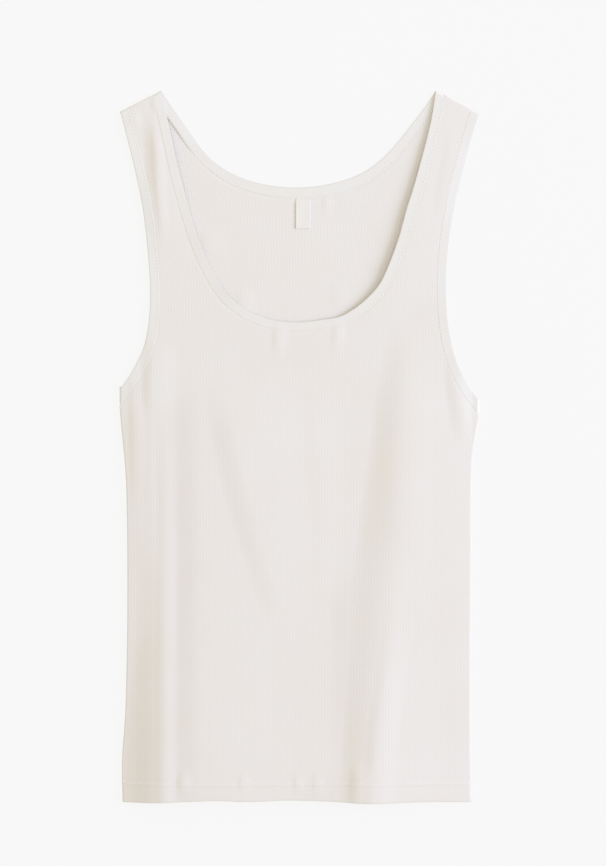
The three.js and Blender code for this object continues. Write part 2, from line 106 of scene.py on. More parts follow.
# Folds of the front, as sections from top to bottom: y, where the crest stands, how high, and
# how wide its left and right flanks are. A flank that runs to a side fold is straight.
folds = {
    "longRidge": ("right", [
        [116, 102, 0, 22, 46], [84, 100, 1.3, 25, 54], [40, 96, 3, 30, 60],
        [-3, 93, 3.8, 32, 62], [-66, 90, 4.2, 38, 64], [-120, 87, 4.2, 42, 67],
        [-170, 82, 3.9, 38, 71.5], [-222, 75.5, 4.2, 35, 78], [-270, 69.5, 4.5, 33, 84],
        [-340, 66, 4.5, 32, 88.5],
    ]),
    "softStep": (None, [
        [-84, 60, 0, 24, 44], [-135, 53, 1.4, 26, 44], [-190, 54, 1.6, 27, 44],
        [-260, 52, 1.1, 26, 44], [-340, 48, 0.9, 25, 44],
    ]),
    "ridgeTop": (None, [
        [-110, 92, 0, 12, 20], [-190, 81, 0.5, 12, 20], [-270, 70.5, 0.8, 12, 20],
        [-340, 67, 0.8, 12, 20],
    ]),
    "broadRise": ("right", [
        [90, 88, 0, 120, 66], [0, 86, 1, 140, 68], [-120, 80, 1.4, 150, 73],
        [-340, 72, 1.4, 150, 82],
    ]),
    "leftBust": (None, [
        [66, -71, 0, 18, 70], [42, -64, 0.8, 23, 80], [15, -58, 1.6, 24, 90],
        [-30, -48, 1.7, 24, 90], [-84, -34, 1.5, 23, 80], [-130, -20.5, 1, 21, 70],
        [-172, -9, 0, 20, 60],
    ]),
    "longShallow": (None, [
        [72, -90, 0, 20, 120], [20, -89, 1.7, 26, 125], [-100, -88, 2.2, 26, 120],
        [-230, -88, 2, 27, 95], [-340, -87, 1.7, 28, 95],
    ]),
    "leftSwell": ("left", [
        [90, -124, 0, 36, 150], [40, -132, 1.8, 28, 190], [-12, -132, 2, 25, 210],
        [-40, -131, 2, 25, 225], [-66, -128.5, 2.1, 27, 230], [-93, -127, 2.2, 28, 235],
        [-120, -124, 1.9, 31, 240], [-147, -121, 1.9, 34, 245], [-174, -120.5, 2.4, 34.5, 250],
        [-228, -120.5, 2.6, 36, 255], [-280, -120.5, 3.7, 39, 260], [-340, -121, 3.7, 38, 260],
    ]),
    "lowerSwell": (None, [
        [-70, -122, 0, 26, 200], [-93, -121.5, 0.5, 26, 220], [-120, -121, 1.6, 26, 240],
        [-147, -121, 1.9, 26.5, 245], [-174, -121, 2.2, 28, 250], [-228, -120.5, 3.9, 35, 255],
        [-280, -120.5, 4.6, 38, 260], [-340, -121, 4.8, 38, 260],
    ]),
    "lowerLeftStep": (None, [
        [-150, -126, 0, 22, 110], [-185, -126, 0.55, 22, 120], [-240, -126, 0.75, 22, 120],
        [-340, -127, 0.75, 22, 120],
    ]),
    "swellTop": (None, [
        [40, -120, 0, 9, 12], [-20, -120, 0.4, 9, 12], [-140, -120, 0.6, 10, 12],
        [-260, -120, 0.7, 11, 12], [-340, -120, 0.7, 11, 12],
    ]),
    "leftUnderarmCrease": (None, [
        [108, -129, 0, 10, 20], [82, -131, 1.2, 11, 24], [50, -132, 1.2, 11, 24],
        [20, -132, 0, 10, 20],
    ]),
    "rightUnderarmCrease": (None, [
        [90, 139, 0, 10, 12], [66, 141, 1, 12, 14], [30, 145, 1, 12, 12], [0, 148, 0, 10, 8],
    ]),
    "leftStrap": (None, [
        [306, -133, 0, 11, 26], [272, -128, 1.6, 13, 32], [225, -126, 1.5, 13, 34],
        [185, -124, 0.7, 12, 32], [150, -122, 0, 10, 26],
    ]),
    "rightStrap": (None, [
        [292, 142, 0, 9, 12], [262, 137, 0.5, 11, 14], [226, 131, 0.5, 11, 14],
        [190, 127, 0, 9, 12],
    ]),
    "rightNeckLift": (None, [
        [320, 122, 0, 30, 50], [285, 116, 1.3, 30, 60], [240, 105, 2.3, 30, 70],
        [190, 91, 3, 30, 80], [150, 73, 3, 34, 80], [128, 51, 1.9, 36, 70],
        [104, 20, 0, 36, 60],
    ]),
    # finer creases, all soft and no two alike
    "leftNeckCurl": (None, [
        [300, -119.5, 0, 4, 5], [284, -116.6, 0.35, 4, 5], [240, -107.1, 0.45, 4, 5],
        [190, -91.8, 0.5, 5, 6], [160, -75, 0.5, 5.5, 6], [132, -57.6, 0.4, 7, 7],
        [120, -38, 0, 9, 8],
    ]),
    "leftEdgeLine": (None, [
        [66, -149, 0, 6, 9], [40, -148, 0.5, 7, 10], [-10, -147, 0.5, 7, 10],
        [-50, -147, 0.15, 6, 9], [-80, -147, 0, 6, 9],
    ]),
    "leftStrapLine": (None, [
        [300, -131, 0, 5, 8], [272, -129, 0.6, 6, 9], [240, -127, 0.55, 6, 9],
        [205, -124, 0.4, 5, 8], [180, -122, 0, 5, 8],
    ]),
    "leftTipNick": (None, [[319, -130, 0, 5, 7], [310, -130, 0.5, 5, 7], [296, -129, 0, 5, 7]]),
    "leftTipCorner": (None, [[304, -150, 0, 6, 9], [296, -149, 0.5, 6, 9], [280, -146, 0, 6, 9]]),
    "rightStrapLine": (None, [
        [286, 148, 0, 6, 5], [262, 145, 0.35, 6, 6], [232, 138, 0.4, 7, 6], [200, 133, 0, 6, 5],
    ]),
    "scoopPuckerLeft": (None, [
        [112, -19, 0, 6, 9], [101, -19, 0.6, 7, 10], [86, -20, 0.25, 7, 9], [70, -21, 0, 6, 8],
    ]),
    "scoopPuckerRight": (None, [
        [114, 34, 0, 6, 8], [103, 34, 0.55, 7, 9], [88, 33, 0.2, 7, 9], [74, 33, 0, 6, 8],
    ]),
    "middleLine": (None, [
        [58, 16, 0, 14, 20], [20, 18, 0.35, 16, 24], [-30, 21, 0.4, 16, 24],
        [-86, 22, 0.25, 14, 22], [-130, 22, 0, 12, 20],
    ]),
    "rightSideLine": (None, [
        [60, 153, 0, 34, 30], [20, 154, 0.7, 36, 30], [-120, 154, 0.9, 38, 30],
        [-200, 154, 0.6, 36, 30], [-300, 154, 0.3, 34, 30], [-340, 154, 0.3, 34, 30],
    ]),
    # puckers at the hem's sewing, each with its dark side towards the left
    "hemRise": (None, [
        [-274, 56, 0, 62, 80], [-296, 56, 1.2, 64, 90], [-312, 56, 1.7, 64, 90],
        [-340, 56, 1.7, 64, 90],
    ]),
    "hemPuckerA": (None, [[-286, -104, 0, 6, 9], [-301, -105, 0.6, 6, 9], [-314, -105, 0, 6, 9]]),
    "hemPuckerB": (None, [[-288, -51, 0, 5, 9], [-301, -51, 0.4, 5, 9], [-314, -51, 0, 5, 9]]),
    "hemPuckerC": (None, [[-290, -2, 0, 5, 9], [-302, -2, 0.45, 5, 9], [-313, -2, 0, 5, 9]]),
    "hemPuckerD": (None, [[-288, 15, 0, 5, 9], [-303, 15, 0.4, 5, 9], [-315, 15, 0, 5, 9]]),
    "hemPuckerE": (None, [
        [-278, 52, 0, 8, 14], [-300, 52, 1, 9, 16], [-316, 52, 0.7, 10, 16],
        [-340, 52, 0.3, 10, 16],
    ]),
}
straightCrest = 0.25  # how much of a straight flank is its round crest

# Low swells of the back where it shows in the neck, over its flat underside
backFolds = {
    "besideLeftEdge": (None, [[204, -80, 0, 10, 16], [180, -82, 0.5, 9, 18], [160, -72, 0, 9, 16]]),
    "lowerLeft": (None, [[146, -50, 0, 8, 12], [130, -51, 0.5, 8, 14], [112, -50, 0, 8, 12]]),
    "middleRise": (None, [[214, 6, 0, 30, 40], [176, 8, 0.4, 34, 44], [136, 6, 0, 30, 40]]),
    "aboveScoop": (None, [[150, 33, 0, 8, 12], [136, 34, 0.3, 8, 12], [118, 34, 0, 8, 12]]),
    "underBandRight": (None, [[232, 24, 0, 5, 7], [222, 24, 0.35, 5, 7], [206, 23, 0, 5, 7]]),
}

print("tables read")


# Curves and distances

def runsAlong(points):
    # how far along a line each of its points lies
    return np.concatenate([[0], np.cumsum(np.linalg.norm(np.diff(points, axis=0), axis=1))])


def directions(vectors):
    return vectors / np.linalg.norm(vectors, axis=1)[:, None]


def evenly(points, step=None, count=None):
    # the same line with points at even distances
    runs = runsAlong(points)
    count = count or max(1, round(runs[-1] / step))
    at = np.linspace(0, runs[-1], count + 1)
    return np.stack([np.interp(at, runs, points[:, k]) for k in range(points.shape[1])], axis=1)


def curveThrough(table, step):
    # a smooth curve through a table's points
    points = np.array(table, float)
    padded = np.vstack([points[:1], points, points[-1:]])
    t = np.linspace(0, 1, curveParts, endpoint=False)[:, None]
    stretches = []
    for before, start, end, after in zip(padded, padded[1:], padded[2:], padded[3:]):
        leave, arrive = (end - before) / 2, (after - start) / 2
        stretches.append(
            (2 * start - 2 * end + leave + arrive) * t ** 3
            + (3 * end - 3 * start - 2 * leave - arrive) * t ** 2 + leave * t + start
        )
    return evenly(np.vstack(stretches + [points[-1:]]), step)


def sideways(points, distance, more=0, lengthen=2 * garment["bandWidth"]):
    # moved to the right of the way it runs, and lengthened straight on at both ends
    along = directions(np.gradient(points, axis=0))
    distance = distance + more * np.maximum(
        1 - (points[:, :1] / garment["backBandHalf"]) ** 2, 0)
    moved = points + distance * np.stack([along[:, 1], -along[:, 0]], axis=1)
    return np.vstack([moved[:1] - along[:1] * lengthen, moved, moved[-1:] + along[-1:] * lengthen])


def foldLine(start, end, inward=0):
    # a straight fold of the garment, with the cloth on the left of the way from start to end
    along = (np.array(end, float) - start) / np.linalg.norm(np.array(end, float) - start)
    outward = np.array([along[1], -along[0]])
    return np.array(start, float) - inward * outward, outward


def trimmed(points, fold):
    # the part of a line on the cloth's side of a fold
    at, outward = fold
    beyond = (points - at) @ outward
    kept = []
    for i, point in enumerate(points):
        if i and (beyond[i - 1] > 0) != (beyond[i] > 0):
            share = beyond[i - 1] / (beyond[i - 1] - beyond[i])
            kept.append(points[i - 1] + (point - points[i - 1]) * share)
        if beyond[i] <= 0:
            kept.append(point)
    return np.array(kept)


def shoulderFold(side, inward=0):
    if side == "left":
        return foldLine(leftNeckPoint, leftShoulderTip, inward)
    return foldLine(rightShoulderTip, rightNeckPoint, inward)


def underarmFold(side, inward=0):
    if side == "left":
        return foldLine(leftUnderarm, [leftUnderarm[0], garment["hemLine"]], inward)
    return foldLine([rightUnderarm[0], garment["hemLine"]], rightUnderarm, inward)


def bandMore(table):
    return garment["backBandMore"] if table == "backNeck" else 0


def smoothStep(t):
    t = np.clip(t, 0, 1)
    return t * t * (3 - 2 * t)


# Heights

def flankHeight(share, straight):
    def fall(at):
        return np.hypot(at, straightCrest) - straightCrest
    return 1 - fall(share) / fall(1) if straight else (1 - share * share) ** 2


def heightOf(table, x, y):
    # all the folds of a table added up, each eased from section to section
    total = np.zeros_like(x)
    for straight, sections in table.values():
        rows = np.array(sections, float)[::-1]
        ys, values = rows[:, 0], rows[:, 1:]
        slopes = np.gradient(values, ys, axis=0)
        slopes[[0, -1], 1] = 0
        on = np.nonzero((y > ys[0]) & (y < ys[-1]))[0]
        k = np.clip(np.searchsorted(ys, y[on]) - 1, 0, len(ys) - 2)
        run = (ys[k + 1] - ys[k])[:, None]
        t = (y[on] - ys[k])[:, None] / run
        eased = (
            values[k] * (2 * t ** 3 - 3 * t ** 2 + 1) + values[k + 1] * (3 * t ** 2 - 2 * t ** 3)
            + run * (slopes[k] * (t ** 3 - 2 * t ** 2 + t) + slopes[k + 1] * (t ** 3 - t ** 2))
        )
        crest, height, left, right = eased.T
        onLeft = x[on] < crest
        share = np.minimum(np.abs(x[on] - crest) / np.where(onLeft, left, right), 1)
        soft = flankHeight(share, False)
        if straight:
            even = flankHeight(share, True)
            soft = np.where(onLeft == (straight == "left"), even, soft)
        total[on] += np.maximum(height, 0) * soft
    return total


def hemShare(y):
    return smoothStep((hemTop + garment["hemRamp"] - y) / garment["hemRamp"])


def panelThickness(y):
    return garment["panelWall"] + (garment["hemWall"] - garment["panelWall"]) * hemShare(y)


waves = {"height": 0.07, "deepest": -0.15, "quietEdge": 30}


def waviness(x, y):
    # Cloth that has been handled is never quite even: long, low and slow. What x and y are
    # divided by is a wave's length in mm, over two pi.
    return waves["height"] * (
        np.sin(x / 13.1 + 0.6 * np.sin(y / 41)) * np.sin(y / 53 + 1.3)
        + 0.8 * np.sin(x / 23.7 - y / 67 + 2.1) + 0.5 * np.sin(x / 7.9 + y / 121) * np.sin(y / 29)
    )


levelRise = 0.68  # the front lies level with its bindings
backRise = {"from": 92, "over": 20, "height": 0.3}  # and so does the back, where it shows
hemRows = {"places": [-301.3, -304.6], "depth": 0.1, "halfWidth": 0.8}  # twin-needle sewing


def pressedRows(y):
    pressed = sum(
        np.exp(-((y - place) / hemRows["halfWidth"]) ** 2) for place in hemRows["places"]
    )
    return hemRows["depth"] * pressed


def frontInner(x, y, away):
    level = panelRest + levelRise
    rest = level + (hemRest - level) * hemShare(y)
    quiet = smoothStep(away / waves["quietEdge"])
    return rest + heightOf(folds, x, y) + np.maximum(waviness(x, y) * quiet, waves["deepest"])


def frontOuter(x, y, away):
    return frontInner(x, y, away) + panelThickness(y) - pressedRows(y)


def backInner(x, y, away):
    shown = smoothStep((y - backRise["from"]) / backRise["over"])
    return panelThickness(y) + backRise["height"] * shown + heightOf(backFolds, x, y)


def flatUnder(x, y, away):
    return np.zeros_like(x)


# Ribs run upright in the body and lean outwards with the straps

lean = {"start": 132, "top": 30, "rise": 189, "power": 1.5, "middle": 90, "rounds": 12}


def leanAt(u, y):
    rise = np.maximum(y - lean["start"], 0) / lean["rise"]
    across = np.sin(np.clip(u / lean["middle"], -1, 1) * math.pi / 2)
    return lean["top"] * rise ** lean["power"] * across


def ribPlace(x, y):
    # the place across the ribs that leans over to x, found by closing in on it
    u = np.array(x, float)
    for _ in range(lean["rounds"]):
        u = x - leanAt(u, y)
    return u


# A panel: a fine wall with ribs over its outer points, rounded all round its edge

def meshObject(name, points, faces, uv, material):
    mesh = bpy.data.meshes.new(name)
    mesh.from_pydata((np.asarray(points) * mm).tolist(), [], faces)
    layer = mesh.uv_layers.new(name="knit")
    corners = np.empty(len(mesh.loops), dtype=np.int32)
    mesh.loops.foreach_get("vertex_index", corners)
    layer.uv.foreach_set("vector", (np.asarray(uv)[corners] * mm).astype(np.float32).ravel())
    mesh.polygons.foreach_set("use_smooth", np.ones(len(mesh.polygons), dtype=bool))
    mesh.validate()
    mesh.materials.append(material)
    obj = bpy.data.objects.new(name, mesh)
    bpy.context.scene.collection.objects.link(obj)
    return obj


def insidePolygon(points, edge):
    inside = np.zeros(len(points), dtype=bool)
    x, y = points[:, 0], points[:, 1]
    for (x0, y0), (x1, y1) in zip(edge, np.roll(edge, -1, axis=0)):
        if y0 == y1:
            continue
        crosses = (y0 > y) != (y1 > y)
        inside ^= crosses & (x < x0 + (y - y0) * (x1 - x0) / (y1 - y0))
    return inside


def triangulated(edge, inside):
    # triangles over a closed edge and the points inside it
    count = len(edge)
    points = np.vstack([edge, inside])
    border = [(k, (k + 1) % count) for k in range(count)]
    _, _, faces, origins, _, _ = delaunay_2d_cdt(
        [tuple(map(float, p)) for p in points], border, [], 0, 1e-6, True)
    faces = np.array([[origins[k][0] for k in face] for face in faces])
    return faces[insidePolygon(points[faces].mean(axis=1), edge)].tolist()


def nearness(edge):
    tree = KDTree(len(edge))
    for i, (x, y) in enumerate(edge):
        tree.insert((x, y, 0), i)
    tree.balance()

    def away(x, y):
        return np.array([tree.find((a, b, 0))[2] for a, b in zip(x, y)])
    return away


def panelRuns(neckTable, steps):
    # the stretches of a panel's edge, anticlockwise from the hem's left end
    inset = garment["bandWidth"] - garment["seamTuck"]

    def seamOf(name, *cuts):
        line = sideways(curveThrough(outline[name], tableStep), inset, bandMore(name))
        for cut in cuts:
            line = trimmed(line, cut)
        return line

    armLeft = seamOf("leftArmhole", shoulderFold("left"), underarmFold("left"))
    armRight = seamOf("rightArmhole", shoulderFold("right"), underarmFold("right"))
    neck = seamOf(neckTable, shoulderFold("left"), shoulderFold("right"))
    sideLeft = curveThrough(outline["leftSide"] + [list(armLeft[0])], tableStep)
    sideRight = curveThrough(outline["rightSide"] + [list(armRight[-1])], tableStep)
    return [
        ("hem", curveThrough(outline["hem"], tableStep), steps["hem"]),
        ("fold", sideRight, steps["side"]),
        ("seam", armRight[::-1], steps["seam"]),
        ("fold", np.array([armRight[0], neck[-1]]), steps["seam"]),
        ("seam", neck[::-1], steps["seam"]),
        ("fold", np.array([neck[0], armLeft[-1]]), steps["seam"]),
        ("seam", armLeft[::-1], steps["seam"]),
        ("fold", sideLeft[::-1], steps["side"]),
    ]


pressedTurn = 0.45  # 1 is a round turn at the side folds, less is a pressed one
cornerRoom = 3.2  # mm kept free beside a corner, so that its rounding has room
seamRound = 0.18  # radius of a panel's edge inside its binding
rimAngles = np.radians([0, 30, 60, 90, 90, 120, 150, 165, 172, 180])  # rings, top to underside
upperRings = 4  # of these, which round the upper face
turnAngles = np.radians([0, 30, 60, 90, 120, 150, 180])  # of the front's turn at a side fold
turnHollow = 0.9  # how far in the middle of the turn's inside lies, where 1 is its whole depth
net = {
    "halfWidth": 200,  # more than any panel has
    "clear": 0.45,  # share of a column kept free beside the edge
    "edgeParts": 3,  # points for each column along the edge, to keep clear of
    "hiddenColumns": 4,  # where the front hides the back, one column in four will do
}
ribFade = {
    "clear": 0.3,  # mm of plain cloth beside a seam or fold
    "edge": 2.4,  # and the ribs reach their height over this much more
    "sewn": 0.45,  # share taken away where the sewing presses in by the next value
    "sewnDepth": 0.2,
    "start": 6,  # mm over which the back's ribs begin
}


def panelEdge(runs):
    # points round the edge, each with its share of a fold and of the hem
    points, kinds = [], []
    for i, (kind, line, step) in enumerate(runs):
        even = evenly(line, step)
        room = np.minimum(
            np.linalg.norm(even - even[0], axis=1), np.linalg.norm(even - even[-1], axis=1))
        keep = even[room > cornerRoom]
        points += [even[0], *keep]
        before = runs[i - 1][0]
        share = ((kind == "fold") + (before == "fold")) / 2
        hemmed = ((kind == "hem") + (before == "hem")) / 2
        kinds += [(share, hemmed)] + [(float(kind == "fold"), float(kind == "hem"))] * len(keep)
    return np.array(points), np.array(kinds)


def movedInward(edge, distance):
    ahead = directions(np.roll(edge, -1, axis=0) - edge)
    after = np.stack([-ahead[:, 1], ahead[:, 0]], axis=1)
    before = np.roll(after, 1, axis=0)
    mitre = (before + after) / (1 + (before * after).sum(axis=1))[:, None]
    return edge + mitre * distance[:, None]


def insetEdge(edge, foldShare, hemmed, wraps):
    # the rim's outermost line, and the line inside it where its rounding starts
    wall = panelThickness(edge[:, 1])
    rest = panelRest + (hemRest - panelRest) * hemShare(edge[:, 1])
    turn = (rest + wall) / 2
    if wraps:
        inset = foldShare * turn + (1 - foldShare) * (
            hemmed * wall / 2 + (1 - hemmed) * seamRound)
    else:  # the back ends where the front has turned round to meet it
        edge = movedInward(edge, foldShare * (turn + garment["sideGap"]))
        inset = seamRound + hemmed * (1 - foldShare) * (wall / 2 - seamRound)
    return edge, movedInward(edge, inset), wall


def latticeInside(gridEdge, rowYs, pitch, columnStep, rows):
    # points in even columns and rows inside the edge, as grid places and as x and y
    reach = math.ceil(net["halfWidth"] / pitch)
    columns = np.arange(-reach, reach + 1)[::columnStep] * pitch
    grid = np.array([(u, j * pitch) for j in rows for u in columns], float)
    grid = grid[insidePolygon(grid, gridEdge)]
    near = nearness(evenly(np.vstack([gridEdge, gridEdge[:1]]), step=pitch / net["edgeParts"]))
    grid = grid[near(grid[:, 0], grid[:, 1]) > net["clear"] * pitch]
    y = np.interp(grid[:, 1] / pitch, np.arange(len(rowYs)), rowYs)
    return grid, grid[:, 0] + leanAt(grid[:, 0], y), y


def ribHeight(u, y, away, ribsFrom):
    # ribs fade towards the edge, under the sewing and where the front hides the back
    pressed = smoothStep((away - ribFade["clear"]) / ribFade["edge"])
    pressed *= 1 - ribFade["sewn"] * np.minimum(pressedRows(y) / ribFade["sewnDepth"], 1)
    shown = smoothStep((y - ribsFrom) / ribFade["start"])
    wave = np.cos(2 * math.pi * u / garment["ribPitch"])
    return garment["ribRelief"] / 2 * wave * pressed * shown


def turnedRing(k, top, under, wall):
    # how far in and how high a ring lies where the front turns over at a side fold
    if k < len(turnAngles):
        across, up = math.sin(turnAngles[k]), math.cos(turnAngles[k])
        height = top * (1 + math.copysign(abs(up) ** pressedTurn, up)) / 2
        return 1 - abs(across) ** pressedTurn, height
    inside = [(1, wall), (turnHollow, (wall + under) / 2), (1, under)]
    return inside[k - len(turnAngles)]


def rimRings(edge, inner, top, under, wall, foldShare, hemmed, wraps):
    # rings of points round the edge, from the upper face over the rim to the lower one
    radius = np.where(hemmed > 0, hemmed * wall / 2 + (1 - hemmed) * seamRound, seamRound)
    radius = np.minimum(radius, (top - under) / 2)
    rings = []
    for k, angle in enumerate(rimAngles):
        inward = 1 - math.sin(angle)
        if k < upperRings:
            height = top - radius * (1 - math.cos(angle))
        else:
            height = under + radius * (1 + math.cos(angle))
        if wraps:
            turnedIn, turnedHeight = turnedRing(k, top, under, wall)
            inward = foldShare * turnedIn + (1 - foldShare) * inward
            height = foldShare * turnedHeight + (1 - foldShare) * height
        inward = np.broadcast_to(inward, len(edge))[:, None]
        rings.append(np.column_stack([edge + (inner - edge) * inward, height]))
    return rings


def panelFaces(gridEdge, topGrid, underGrid):
    # the upper face, the rim between its rings, and the lower face
    count = len(gridEdge)
    faces = triangulated(gridEdge, topGrid)
    ringStart = [0] + [count + len(topGrid) + count * k for k in range(len(rimAngles) - 1)]
    for first, second in zip(ringStart, ringStart[1:]):
        for i in range(count):
            j = (i + 1) % count
            faces.append([first + i, second + i, second + j, first + j])
    for face in triangulated(gridEdge, underGrid):
        faces.append([ringStart[-1] + k for k in reversed(face)])
    return faces


def panelPiece(name, spec, material):
    runs = panelRuns(spec["neck"], spec["steps"])
    edge, kinds = panelEdge(runs)
    foldShare, hemmed = kinds.T
    edge, inner, wall = insetEdge(edge, foldShare, hemmed, spec["wraps"])
    innerX, innerY = inner.T
    innerU = ribPlace(innerX, innerY)
    pitch, rowYs, ribsFrom = spec["column"], spec["rows"], spec["ribsFrom"]
    rowPlace = np.interp(innerY, rowYs, np.arange(len(rowYs))) * pitch
    gridEdge = np.stack([innerU, rowPlace], axis=1)

    topGrid, topX, topY = latticeInside(gridEdge, rowYs, pitch, 1, range(len(rowYs)))
    if ribsFrom > rowYs[0]:
        column = np.round(topGrid[:, 0] / pitch).astype(int)
        kept = (topY > ribsFrom) | (column % net["hiddenColumns"] == 0)
        topGrid, topX, topY = topGrid[kept], topX[kept], topY[kept]
    underGrid, underX, underY = latticeInside(
        gridEdge, rowYs, pitch, spec["underColumn"], range(0, len(rowYs), 2))

    bound = np.vstack([evenly(line, tableStep) for kind, line, _ in runs if kind != "hem"])
    away = nearness(bound)
    edgeAway, topAway = away(innerX, innerY), away(topX, topY)
    edgeTop = spec["outer"](innerX, innerY, edgeAway) + ribHeight(
        innerU, innerY, edgeAway, ribsFrom)
    edgeUnder = spec["under"](innerX, innerY, edgeAway)
    topZ = spec["outer"](topX, topY, topAway) + ribHeight(topGrid[:, 0], topY, topAway, ribsFrom)
    underZ = spec["under"](underX, underY, away(underX, underY))

    rings = rimRings(
        edge, inner, edgeTop, edgeUnder, wall, foldShare, hemmed, spec["wraps"])
    points = np.vstack([
        rings[0], np.column_stack([topX, topY, topZ]), *rings[1:],
        np.column_stack([underX, underY, underZ]),
    ])
    uv = np.column_stack([ribPlace(points[:, 0], points[:, 1]), points[:, 1]])
    obj = meshObject(name, points, panelFaces(gridEdge, topGrid, underGrid), uv, material)
    ahead = np.roll(edge, -1, axis=0)
    area = abs((edge[:, 0] * ahead[:, 1] - edge[:, 1] * ahead[:, 0]).sum()) / 2 * mm * mm
    print(f"{name}: {len(points)} points, {area:.4f} m2 of cloth")
    return obj, area


# Materials

def hexColor(code):
    # sRGB hex to the linear values that a shader takes
    values = [int(code[i:i + 2], 16) / 255 for i in (1, 3, 5)]
    return [v / 12.92 if v <= 0.04045 else ((v + 0.055) / 1.055) ** 2.4 for v in values] + [1]


def addNode(tree, kind, settings=None, links=None):
    node = tree.nodes.new("ShaderNode" + kind)
    for key, value in (settings or {}).items():
        if isinstance(key, int):
            node.inputs[key].default_value = value
        elif key in node.inputs:
            node.inputs[key].default_value = value
        else:
            setattr(node, key, value)
    for key, source in (links or {}).items():
        tree.links.new(source, node.inputs[key])
    return node


def newMaterial(name):
    material = bpy.data.materials.new(name)
    material.use_nodes = True
    material.node_tree.nodes.clear()
    return material, material.node_tree


def knitMaterial(name, look):
    # Combed cotton rib, knitted on a circular machine, washed and left matt. The eye sees
    # upright ribs with valleys painted a touch darker as shade, columns of small loops and a faint
    # fuzz.
    material, tree = newMaterial(name)
    uv = addNode(tree, "UVMap", {"uv_map": "knit"})
    place = addNode(tree, "SeparateXYZ", links={0: uv.outputs[0]})
    objectPlace = addNode(tree, "TexCoord")
    turn = addNode(tree, "Math", {"operation": "MULTIPLY", 1: 2 * math.pi / (look["pitch"] * mm)},
                   {0: place.outputs["X"]})
    wave = addNode(tree, "Math", {"operation": "COSINE"}, {0: turn.outputs[0]})
    ridge = addNode(tree, "MapRange", {"From Min": -1, "From Max": 1}, {"Value": wave.outputs[0]})
    # loops lean into each other like the arms of a V
    bent = addNode(tree, "Math", {"operation": "MULTIPLY_ADD", 1: look["loopBend"] * mm},
                   {0: wave.outputs[0], 2: place.outputs["Y"]})
    course = addNode(tree, "Math",
                     {"operation": "MULTIPLY", 1: 2 * math.pi / (look["course"] * mm)},
                     {0: bent.outputs[0]})
    loops = addNode(tree, "Math", {"operation": "SINE"}, {0: course.outputs[0]})
    fuzz = addNode(tree, "TexNoise",
                   {"Scale": 1 / (look["fuzz"] * mm), "Detail": 3, "Roughness": 0.6},
                   {"Vector": objectPlace.outputs["Object"]})
    broad = addNode(tree, "TexNoise", {"Scale": 1 / (look["patch"] * mm), "Detail": 2},
                    {"Vector": objectPlace.outputs["Object"]})
    # painted shade: the rib's valleys are coloured a little darker than its ridges
    paintedValleyShade = addNode(tree, "Mix", {"data_type": "RGBA", 6: hexColor(look["paintedValleyShade"]),
                                   7: hexColor(look["ridge"])}, {0: ridge.outputs[0]})
    patchShare = addNode(tree, "MapRange", {"From Min": 0.3, "From Max": 0.7, "To Min": 0,
                                            "To Max": look["patchShare"]},
                         {"Value": broad.outputs[0]})
    colour = addNode(tree, "Mix", {"data_type": "RGBA", 7: hexColor(look["patchColor"])},
                     {0: patchShare.outputs[0], 6: paintedValleyShade.outputs[2]})
    if look["paintedEdgeShade"]:  # painted shade: the strip's folded free edge is coloured darker than the rest of the binding
        folded = addNode(tree, "MapRange", {"From Min": look["edgeShadeReach"] * mm,
                                            "From Max": look["edgeShadeFull"] * mm},
                         {"Value": place.outputs["Y"]})
        colour = addNode(tree, "Mix", {"data_type": "RGBA", 7: hexColor(look["paintedEdgeShade"])},
                         {0: folded.outputs[0], 6: colour.outputs[2]})
    fuzzHeight = addNode(tree, "Math", {"operation": "MULTIPLY", 1: look["fuzzHeight"]},
                         {0: fuzz.outputs[0]})
    height = addNode(tree, "Math", {"operation": "MULTIPLY_ADD", 1: look["loopHeight"]},
                     {0: loops.outputs[0], 2: fuzzHeight.outputs[0]})
    bump = addNode(tree, "Bump", {"Strength": 1, "Distance": mm}, {"Height": height.outputs[0]})
    rough = addNode(tree, "MapRange",
                    {"To Min": look["roughness"] - look["roughnessSpread"],
                     "To Max": look["roughness"] + look["roughnessSpread"]},
                    {"Value": fuzz.outputs[0]})
    shader = addNode(
        tree, "BsdfPrincipled",
        {"IOR": 1.5, "Specular IOR Level": look["specular"], "Sheen Weight": look["sheen"],
         "Sheen Roughness": 0.5, "Sheen Tint": hexColor(look["ridge"])},
        {"Base Color": colour.outputs[2], "Roughness": rough.outputs[0],
         "Normal": bump.outputs[0]},
    )
    addNode(tree, "OutputMaterial", links={"Surface": shader.outputs[0]})
    return material


knitLook = {
    "pitch": garment["ribPitch"],
    "course": 1.9,  # real rows of loops are 0.9 mm apart; drawn coarser, to show at all
    "loopBend": 0.35,
    "loopHeight": 0.012,
    "fuzz": 1.1,
    "fuzzHeight": 0.035,
    "ridge": "#ece8e6",
    # painted shade in the valleys between the ribs
    "paintedValleyShade": "#ebe7e4",
    "patch": 60,
    "patchColor": "#e8e2da",
    "patchShare": 0.3,
    "roughness": 0.9,
    "roughnessSpread": 0.04,
    "specular": 0.15,
    "sheen": 0.03,
    "paintedEdgeShade": None,  # painted shade on a strip's free edge, which only a binding has
}
# the binding's free edge is coloured darker near its fold: painted shade
bindingLook = dict(
    knitLook, pitch=garment["bandRibPitch"], ridge="#edebe9", paintedValleyShade="#ebe9e7", course=1.7,
    paintedEdgeShade="#e2ddd6", edgeShadeReach=0.9, edgeShadeFull=0.2)  # mm from the strip's fold

combedCottonRib = knitMaterial("combedCottonRib", knitLook)
combedCottonBinding = knitMaterial("combedCottonRibBinding", bindingLook)


waveRepeat = 0.314  # a wave texture's bands lie this far apart at a scale of 1


